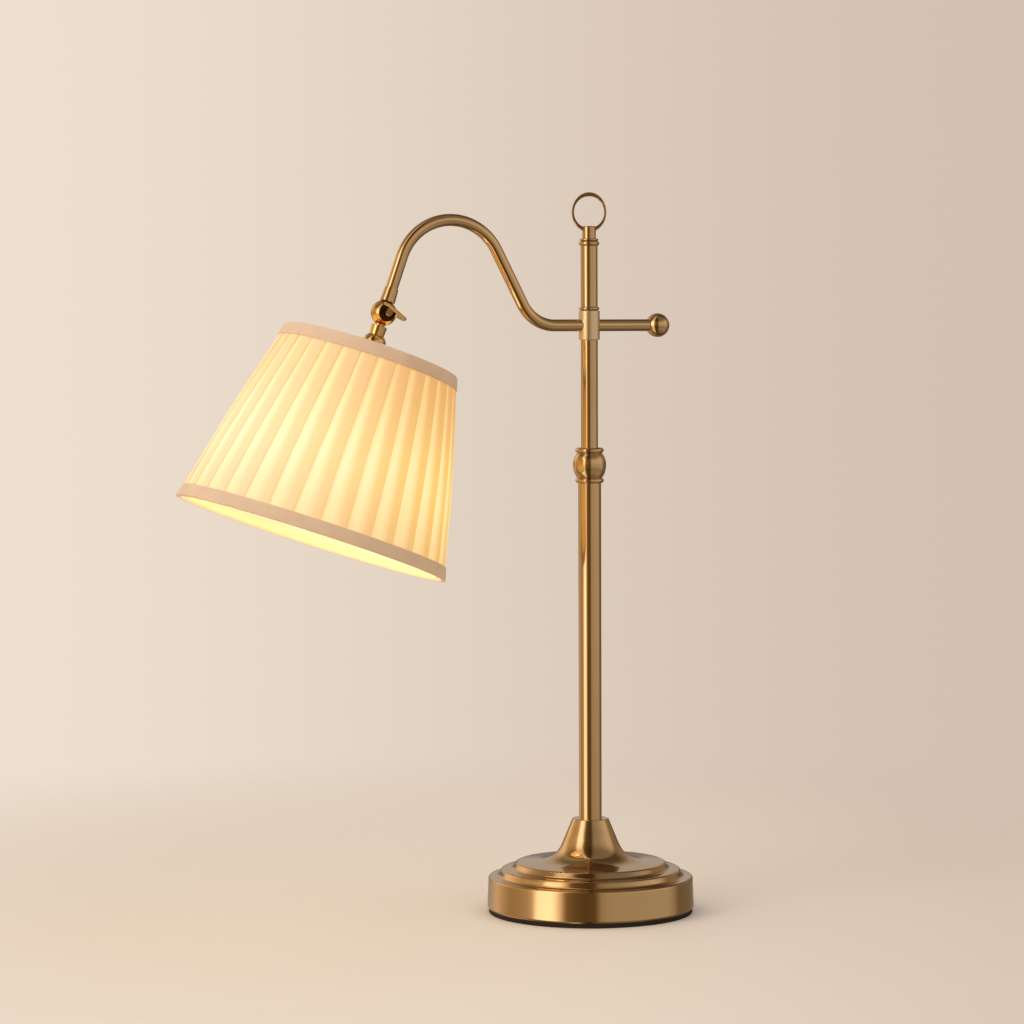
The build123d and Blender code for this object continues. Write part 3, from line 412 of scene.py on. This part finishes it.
def brass(name, colour, dull, roughness, grain, relief=0.02):
    """Lacquered brass with fine brushing; grain is "up", "round" or "fine" for its direction."""
    shader = Shader(name, Metallic=1.0)
    if grain == "up":
        lines = shader.times(shader.place(), BRUSHED_UP)
    elif grain == "round":
        x, y, z = shader.node("SeparateXYZ", {0: shader.place()}).node.outputs
        joined = shader.node("CombineXYZ", {0: shader.length(x, y), 1: z})
        lines = shader.times(joined, BRUSHED_ROUND)
    else:
        lines = shader.times(shader.place(), BRUSHED_FINE)
    streaks = shader.noise(lines, 1.0, detail=4.0, roughness=0.65)
    clouds = shader.noise(shader.place(), TARNISH_CLOUDS)
    tarnish = shader.remap(clouds, TARNISH_FROM, TARNISH_FULL, 0.0, TARNISH_MOST)
    shader.set("Base Color", shader.mix(tarnish, colour, dull))
    shader.set("Roughness", shader.spread(streaks, roughness - SMOOTHER, roughness + ROUGHER))
    shader.set("Normal", shader.bump(streaks, relief, STREAK_RELIEF))
    return shader.material


FACE_RADIUS, FACE_DEPTH = 7.05 * MM, 6.9 * MM  # the recess: its radius, and how far forward it starts
# painted shadow: the colour and roughness given to the ball's front recess, which stands in shade
RECESS_SHADOW, RECESS_SHADOW_ROUGHNESS = (0.045, 0.025, 0.010), 0.45
POLISH = (0.09, 0.15)  # roughness of the polished ball
FINE_RELIEF = 0.1 * MM
DEEP_RELIEF = 0.2 * MM


def swivel_finish():
    """Polished brass, with painted shadow, nearly black, in the recess of the ball's front face."""
    shader = Shader("polished_brass_swivel", Metallic=1.0)
    x, y, z = shader.node("SeparateXYZ", {0: shader.offset(SWIVEL)}).node.outputs
    inside = shader.math("LESS_THAN", shader.length(x, z), FACE_RADIUS)
    front = shader.math("LESS_THAN", y, -FACE_DEPTH)
    recess = shader.math("MULTIPLY", inside, front)
    clouds = shader.noise(shader.place(), 120.0, detail=4.0)
    warm = shader.mottle(clouds, (0.66, 0.40, 0.14), (0.54, 0.30, 0.09))
    polish = shader.spread(clouds, *POLISH)
    # the recess is painted nearly black as shadow
    shader.set("Base Color", shader.mix(recess, warm, RECESS_SHADOW))
    shader.set("Roughness", shader.mix_number(recess, polish, RECESS_SHADOW_ROUGHNESS))
    shader.set("Normal", shader.bump(clouds, 0.02, FINE_RELIEF))
    return shader.material


BRASS, BRASS_DULL = (0.60, 0.385, 0.185), (0.52, 0.32, 0.145)
# the same brass painted warmer and brighter: painted warm light from the lit shade on the head parts and
# wing key
BRASS_GLOW_LIT, BRASS_GLOW_LIT_DULL = (0.68, 0.42, 0.16), (0.58, 0.33, 0.10)
stem_brass = brass("brushed_brass_stem", BRASS, BRASS_DULL, 0.09, "up", relief=0.01)
turned_brass = brass("brushed_brass_turned", BRASS, BRASS_DULL, 0.10, "round")
arm_brass = brass("brushed_brass_arm", BRASS, BRASS_DULL, 0.10, "fine", relief=0.0)
satin_brass = brass("satin_brass_collar", (0.76, 0.56, 0.34), (0.68, 0.48, 0.27), 0.36, "up", relief=0.08)
glow_lit_brass = brass("polished_brass_head_painted_glow", BRASS_GLOW_LIT, BRASS_GLOW_LIT_DULL, 0.10, "fine", relief=0.0)


AMBER_GLOW_SIDE = Vector((0.92, -0.38, 0))  # the camera's right side of the shade, whose glow is painted more amber; towards the left it is painted whiter, standing in for the studio light that falls there
AMBER_GLOW_REACH = 80 * MM
GLOW_WIDTH = 60 * MM  # distance along the head at which the bulb's light on the shade has halved
BULB = SWIVEL + HEAD_AXIS * BULB_CENTRE


def warm_glow(shader):
    """Light from the bulb on the shade: strongest level with it, weaker towards the rims."""
    along = shader.dot(shader.offset(BULB), HEAD_AXIS)
    spread = shader.math("POWER", shader.math("DIVIDE", along, GLOW_WIDTH), 2.0)
    return shader.math("DIVIDE", 1.0, shader.math("ADD", spread, 1.0))


SLUBS = (60, 60, 900)  # thick places in the threads, by the metre along each axis


def weave(shader, scale, strength):
    """Plain weave: two crossed sets of threads, with slubs."""
    crossed = shader.math("MULTIPLY", shader.threads(scale, "Z"), shader.threads(scale, "X"))
    slubs = shader.noise(shader.times(shader.place(), SLUBS), 1.0, detail=4.0)
    cloth = shader.math("ADD", crossed, slubs)
    return cloth, shader.bump(cloth, strength, DEEP_RELIEF)


def pleated_fabric():
    """Cream cloth lit from behind: bright where it is one layer, amber where three layers overlap."""
    shader = Shader("pleated_fabric", Roughness=0.85, Specular_IOR_Level=0.2)
    light = shader.node("Attribute", attribute_name="light_share", output="Fac")
    glow = warm_glow(shader)
    cloth, normal = weave(shader, 420.0, 0.25)
    # painted shade in the base colour too: darker and more orange where three layers hold back the bulb's
    # light
    shade = shader.mix(light, (0.58, 0.44, 0.29), (0.60, 0.53, 0.33))
    worn = shader.remap(cloth, *WEAVE_RANGE, 0.0, 0.18)
    shader.set("Base Color", shader.mix(worn, shade, (0.55, 0.47, 0.34)))
    # painted light: the glow leans whiter towards the camera's left, where the studio light falls, and more
    # amber to the right
    across = shader.dot(shader.offset(BULB), AMBER_GLOW_SIDE)
    side_light_lean = shader.remap(across, -AMBER_GLOW_REACH, AMBER_GLOW_REACH, 0.0, 1.0)
    near_dark = shader.mix(side_light_lean, (0.44, 0.375, 0.185), (0.66, 0.385, 0.040))
    near_light = shader.mix(side_light_lean, (0.66, 0.47, 0.31), (0.68, 0.59, 0.28))
    far_dark = shader.mix(side_light_lean, (0.40, 0.250, 0.110), (0.36, 0.085, 0.0))
    far_light = shader.mix(side_light_lean, (0.50, 0.22, 0.0), (0.56, 0.20, 0.0))
    near = shader.mix(light, near_dark, near_light)
    far = shader.mix(light, far_dark, far_light)
    slub = shader.remap(cloth, *WEAVE_RANGE, 1.06, 0.90)
    colour = shader.mix(glow, far, near)
    slub_colour = shader.node("CombineColor", {0: slub, 1: slub, 2: slub})
    shader.set("Emission Color", shader.mix(1.0, colour, slub_colour, "MULTIPLY"))
    shader.set("Emission Strength", 1.0)
    shader.set("Normal", normal)
    return shader.material


def lining_fabric():
    """Smooth white lining, brightly lit by the bulb."""
    shader = Shader("bonded_lining", Roughness=0.7, Specular_IOR_Level=0.2)
    glow = warm_glow(shader)
    specks = shader.noise(shader.place(), 900.0, detail=2.0)
    speckle = shader.spread(specks, 0.0, 0.12)
    shader.set("Base Color", shader.mix(speckle, (0.82, 0.76, 0.62), (0.70, 0.62, 0.46)))
    shader.set("Emission Color", shader.mix(glow, (0.62, 0.44, 0.15), (0.80, 0.57, 0.28)))
    shader.set("Emission Strength", 0.55)
    shader.set("Normal", shader.bump(specks, 0.1, FINE_RELIEF))
    return shader.material


def trim_fabric():
    """Bias ribbon, dense enough to show only a trace of the light behind it."""
    shader = Shader("trim_fabric", Roughness=0.8, Specular_IOR_Level=0.25)
    cloth, normal = weave(shader, 520.0, 0.3)
    patches = shader.noise(shader.place(), 60.0, detail=3.0)
    base = shader.mix(shader.remap(cloth, *WEAVE_RANGE, 0.0, 0.3), (0.60, 0.455, 0.335), (0.50, 0.36, 0.25))
    outer = shader.mix(shader.spread(patches, 0.0, 0.25), base, (0.70, 0.54, 0.40))
    # painted light: the side towards the bulb gets a lighter base colour and the lining's glow
    bulb_lit_side = shader.node("Attribute", attribute_name="light_share", output="Fac")
    shader.set("Base Color", shader.mix(bulb_lit_side, outer, (0.80, 0.72, 0.55)))
    trace = shader.mottle(patches, (0.10, 0.050, 0.018), (0.14, 0.070, 0.026))
    shader.set("Emission Color", shader.mix(bulb_lit_side, trace, (0.55, 0.38, 0.12)))
    shader.set("Emission Strength", 1.0)
    shader.set("Sheen Weight", 0.15)
    shader.set("Normal", normal)
    return shader.material


def plain(name, colour, shade, roughness, metallic=0.0, scale=300.0, relief=0.1, **extra):
    """A finish with a fine mottle in its colour, roughness and surface."""
    shader = Shader(name, Metallic=metallic, **extra)
    grain = shader.noise(shader.place(), scale, detail=4.0)
    shader.set("Base Color", shader.mottle(grain, colour, shade))
    shader.set("Roughness", shader.spread(grain, roughness - 0.06, roughness + 0.08))
    shader.set("Normal", shader.bump(grain, relief, DEEP_RELIEF))
    return shader.material


def lit_tape():
    """Cloth tape bound round the rim wires, lit like the lining beside it."""
    shader = Shader("bound_tape", Roughness=0.8, Specular_IOR_Level=0.2)
    turns = shader.noise(shader.place(), 500.0, detail=3.0)
    shader.set("Base Color", shader.mottle(turns, (0.80, 0.72, 0.55), (0.72, 0.64, 0.48)))
    shader.set("Emission Color", (0.55, 0.40, 0.13))
    shader.set("Emission Strength", 0.9)
    shader.set("Normal", shader.bump(turns, 0.2, DEEP_RELIEF))
    return shader.material


def opal_glass():
    """Lit opal glass, a little brighter round its middle."""
    shader = Shader("opal_glass", Base_Color=(0.92, 0.88, 0.80), Roughness=0.3)
    shader.set("Emission Color", shader.mix(warm_glow(shader), (1.0, 0.72, 0.38), (1.0, 0.86, 0.58)))
    shader.set("Emission Strength", 2.2)
    return shader.material


finishes = {
    "stem": stem_brass,
    "turned": turned_brass,
    "arm": arm_brass,
    "satin": satin_brass,
    "glow_lit": glow_lit_brass,
    "swivel": swivel_finish(),
    "rubber": plain(
        "black_rubber", (0.020, 0.014, 0.009), (0.030, 0.021, 0.014), 0.8, scale=700.0, relief=0.3,
        Specular_IOR_Level=0.2,
    ),
    "steel": plain("zinc_steel", (0.55, 0.55, 0.56), (0.44, 0.44, 0.46), 0.32, metallic=1.0, scale=200.0),
    "iron": plain(
        "cast_iron", (0.06, 0.06, 0.062), (0.035, 0.035, 0.036), 0.75, metallic=0.3, scale=400.0, relief=0.5,
    ),
    "nylon": plain("nylon", (0.78, 0.76, 0.70), (0.72, 0.70, 0.64), 0.5, scale=200.0),
    "sheath": plain("lead_sheath", (0.16, 0.09, 0.045), (0.12, 0.07, 0.035), 0.45, scale=200.0),
    "moulding": plain("cream_moulding", (0.78, 0.72, 0.60), (0.72, 0.66, 0.54), 0.42, scale=250.0),
    "porcelain": plain(
        "glazed_porcelain", (0.82, 0.81, 0.77), (0.78, 0.77, 0.73), 0.18, scale=80.0, relief=0.03,
    ),
    "contact": plain("contact_brass", (0.72, 0.60, 0.36), (0.64, 0.52, 0.30), 0.25, metallic=1.0),
    "paint": plain("white_frame_paint", (0.80, 0.77, 0.70), (0.74, 0.71, 0.63), 0.4, scale=350.0),
    "tape": lit_tape(),
    "opal": opal_glass(),
    "filament": plain("filament_glass", (0.9, 0.8, 0.6), (0.8, 0.7, 0.5), 0.3),
}
wearing = {
    "stem": ["lower_tube", "upper_tube", "top_tube"],
    "satin": ["collar"],
    # painted warm light: these parts wear the brass painted warmer for the shade's glow
    "glow_lit": ["wing_key", "head_neck", "holder_cup"],
    "turned": [
        "base_shell", "knuckle_lower_ring", "knuckle_barrel", "knuckle_upper_ring", "collar_bead",
        "finial_lower_bead", "finial_upper_bead", "finial_neck",
    ],
    "arm": ["arm_tube", "counter_rod", "counter_ball", "arm_sleeve", "finial_ring"],
    "swivel": ["swivel_back_half", "swivel_front_half"],
    "rubber": ["base_pad", "cord_inlet_bush"],
    "steel": [
        "stem_rod", "stem_nut", "stem_washer", "cover_plate_screws", "base_cover_plate", "swing_spindle",
        "swing_stop_pin", "tilt_stop_pin", "head_nipple",
    ],
    "iron": ["base_weight"],
    "nylon": ["swing_washers"],
    "sheath": ["stem_lead", "arm_lead", "head_lead"],
    "moulding": ["lampholder_shell", "shade_rings"],
    "porcelain": ["lampholder_insulator"],
    "contact": ["lampholder_screw_shell", "lampholder_contact", "bulb_cap"],
    "paint": ["shade_carrier"],
    "tape": ["shade_top_wire", "shade_bottom_wire"],
    "opal": ["bulb_glass"],
    "filament": ["bulb_mount", "bulb_filaments"],
}
for finish, members in wearing.items():
    for member in members:
        node = frame["nodes"][member]
        node.data.materials.clear()
        node.data.materials.append(finishes[finish])
cover.data.materials.append(pleated_fabric())
lining.data.materials.append(lining_fabric())
trim_material = trim_fabric()
for ribbon in (top_trim, bottom_trim):
    ribbon.data.materials.append(trim_material)


# ---- studio -------------------------------------------------------------------------------------------
VIEW_TURN = math.radians(22.4)  # how far the camera stands round from -Y towards -X
VIEW_DOWN = math.radians(3.04)
CAMERA_ROLL = math.radians(0.2)
TO_CAMERA = Vector((-math.sin(VIEW_TURN), -math.cos(VIEW_TURN), 0))
CAMERA_RIGHT = Vector((math.cos(VIEW_TURN), -math.sin(VIEW_TURN), 0))
CAMERA_DISTANCE, CAMERA_ASIDE, CAMERA_HEIGHT = 2.8269, -0.0642, 0.4851
LENS, SENSOR = 119.5, 36.0  # millimetres


def studio_place(towards, aside, height):
    """A place told by how far it is from the stem towards the camera, to the camera's right, and up."""
    return TO_CAMERA * towards + CAMERA_RIGHT * aside + Vector((0, 0, height))


def add_camera():
    """A long lens a little above the knuckle's height, looking slightly down."""
    data = bpy.data.cameras.new("camera")
    data.lens = LENS
    data.sensor_width = SENSOR
    camera = bpy.data.objects.new("camera", data)
    camera.location = studio_place(CAMERA_DISTANCE, CAMERA_ASIDE, CAMERA_HEIGHT)
    camera.rotation_euler = (math.pi / 2 - VIEW_DOWN, CAMERA_ROLL, -VIEW_TURN)
    bpy.context.scene.collection.objects.link(camera)
    bpy.context.scene.camera = camera


FLOOR_SEGMENTS = 96
FLOOR_RINGS = (0.3, 0.6, 0.9, 1.3, 1.8)
FLOOR_LIGHT, FLOOR_SHADED = (0.83, 0.755, 0.69), (0.75, 0.68, 0.63)
FLOOR_SHADED_FROM = 0.35  # how far to the right of the stem the floor has its darker colour, painted shade where less studio light falls
FLOOR_FADE = (0.42, 1.15)  # between these distances from the stem the floor gives way to the backdrop


def add_floor():
    """A pale floor with painted shade, darker to the camera's right, that fades into the backdrop's colour
    away from the lamp.
    """
    vertices = []
    for radius in FLOOR_RINGS:
        for segment in range(FLOOR_SEGMENTS):
            turn = math.tau * segment / FLOOR_SEGMENTS
            vertices.append(Vector((radius * math.cos(turn), radius * math.sin(turn), 0)))
    middle = tuple(reversed(range(FLOOR_SEGMENTS)))
    floor = mesh_piece("floor", vertices, [middle] + grid_faces(len(FLOOR_RINGS), FLOOR_SEGMENTS))
    shader = Shader("pale_floor", Roughness=0.6, Specular_IOR_Level=0.15)
    # painted shade: the floor's colour darkens towards the camera's right
    aside = shader.remap(shader.dot(shader.place(), CAMERA_RIGHT), 0.0, FLOOR_SHADED_FROM, 0.0, 1.0)
    shader.set("Base Color", shader.mix(aside, FLOOR_LIGHT, FLOOR_SHADED))
    reach = shader.node("VectorMath", {0: shader.place()}, output="Value", operation="LENGTH")
    clear = shader.node("BsdfTransparent")
    fade = {0: shader.rise(reach, *FLOOR_FADE), 1: shader.surface.outputs[0], 2: clear}
    shader.join(shader.tree.nodes["Material Output"].inputs["Surface"], shader.node("MixShader", fade))
    floor.data.materials.append(shader.material)
    floor.visible_glossy = False


BACKDROP_LIGHT, BACKDROP_SHADED = (0.855, 0.737, 0.624), (0.650, 0.533, 0.440)
BACKDROP_TURN = (-0.17, 0.145)  # sines of the angles, left and right, between which it darkens: painted shade, the studio light falling off to the right
# Brightness and warmth of the studio round the lamp, by degrees from the camera's side to its right.
STUDIO = (
    (-180, 0.43, 0.1), (-158, 0.50, 0.3), (-130, 1.05, 0.5), (-115, 0.74, 0.6), (-104, 0.56, 0.7),
    (-90, 0.58, 0.7), (-78, 0.66, 0.6), (-70, 0.85, 0.4), (-62, 2.3, 0.0), (-45, 2.5, 0.0), (-36, 1.30, 0.2),
    (-29, 0.34, 1.0), (-20, 0.22, 1.0), (-8, 0.15, 1.0), (4, 0.17, 1.0), (11, 0.50, 0.3), (20, 0.58, 0.2),
    (75, 0.64, 0.0), (95, 0.64, 0.0), (106, 0.48, 0.2), (114, 0.26, 0.5), (155, 0.28, 0.5), (180, 0.43, 0.1),
)
STUDIO_NEUTRAL, STUDIO_WARM = Vector((1.0, 0.94, 0.86)), Vector((1.0, 0.68, 0.32))
STUDIO_PEAK = 4.0  # the ramps hold shares of a peak, which keeps their colours within 1
# How the studio's brightness changes from straight down (-1) to straight up (1).
STUDIO_RISE = (
    (-1.0, 0.25), (-0.9, 0.40), (-0.6, 0.75), (-0.4, 0.60), (-0.2, 0.80), (-0.08, 1.0), (0.05, 1.05),
    (0.12, 1.25), (0.4, 1.3), (0.53, 0.90), (0.66, 0.50), (0.85, 0.45), (1.0, 0.45),
)
RISE_PEAK = 2.0
# It is darker level with the lamp behind it, which draws dark edges on the tubes.
BACK_SHADE = 0.5
BACK_FROM, BACK_FULL = -0.45, -0.85  # cosines of the angles from the camera's direction
LEVEL_FULL, LEVEL_END = 0.07, 0.13  # sines of the angles above and below level


def add_world():
    """Backdrop for the camera, and a soft studio round the lamp for light and reflections."""
    world = bpy.data.worlds.new("studio")
    bpy.context.scene.world = world
    world.use_nodes = True
    nodes = Nodes(world.node_tree)
    direction = nodes.node("TexCoord", output="Generated")
    towards = nodes.dot(direction, TO_CAMERA)
    aside = nodes.dot(direction, CAMERA_RIGHT)
    up = nodes.node("SeparateXYZ", {0: direction}, output="Z")

    round_stops = []
    for degrees, level, warmth in STUDIO:
        tint = STUDIO_NEUTRAL.lerp(STUDIO_WARM, warmth)
        round_stops.append(((degrees + 180) / 360, tint * level / STUDIO_PEAK))
    turn = nodes.remap(nodes.math("ARCTAN2", aside, towards), -math.pi, math.pi, 0.0, 1.0)
    rise_stops = [((level_up + 1) / 2, [share / RISE_PEAK] * 3) for level_up, share in STUDIO_RISE]
    height = nodes.remap(up, -1.0, 1.0, 0.0, 1.0)
    ceiling = nodes.times(nodes.ramp(height, rise_stops), (STUDIO_PEAK * RISE_PEAK,) * 3)
    behind = nodes.remap(towards, BACK_FROM, BACK_FULL, 0.0, 1.0)
    low = nodes.remap(nodes.math("ABSOLUTE", up), LEVEL_FULL, LEVEL_END, BACK_SHADE, 0.0)
    open_share = nodes.math("SUBTRACT", 1.0, nodes.math("MULTIPLY", behind, low))
    lit = nodes.times(nodes.times(nodes.ramp(turn, round_stops), ceiling), open_share)

    # painted shade: the backdrop darkens towards the camera's right
    backdrop = nodes.mix(nodes.rise(aside, *BACKDROP_TURN), BACKDROP_LIGHT, BACKDROP_SHADED)
    seen = nodes.mix(nodes.node("LightPath", output="Is Camera Ray"), lit, backdrop)
    nodes.join(nodes.tree.nodes["Background"].inputs["Color"], seen)


SOFTBOX_AIM = Vector((-0.05, 0, 0.1))
SOFTBOX_TINT = (1.0, 0.95, 0.88)


def add_softbox(name, location, size, power):
    """A soft light that fills the scene and keeps out of the metal's reflections."""
    data = bpy.data.lights.new(name, "AREA")
    data.shape = "DISK"
    data.size = size
    data.energy = power
    data.color = SOFTBOX_TINT
    light = bpy.data.objects.new(name, data)
    light.location = location
    light.rotation_euler = (SOFTBOX_AIM - location).to_track_quat("-Z", "Y").to_euler()
    light.visible_glossy = False
    light.visible_camera = False
    bpy.context.scene.collection.objects.link(light)


add_camera()
add_floor()
add_world()
add_softbox("overhead", Vector((-0.3, -0.2, 2.4)), size=4.5, power=51)
add_softbox("key", studio_place(towards=1.4, aside=-1.8, height=1.3), size=1.2, power=4.5)
bpy.context.scene.view_settings.view_transform = "Standard"
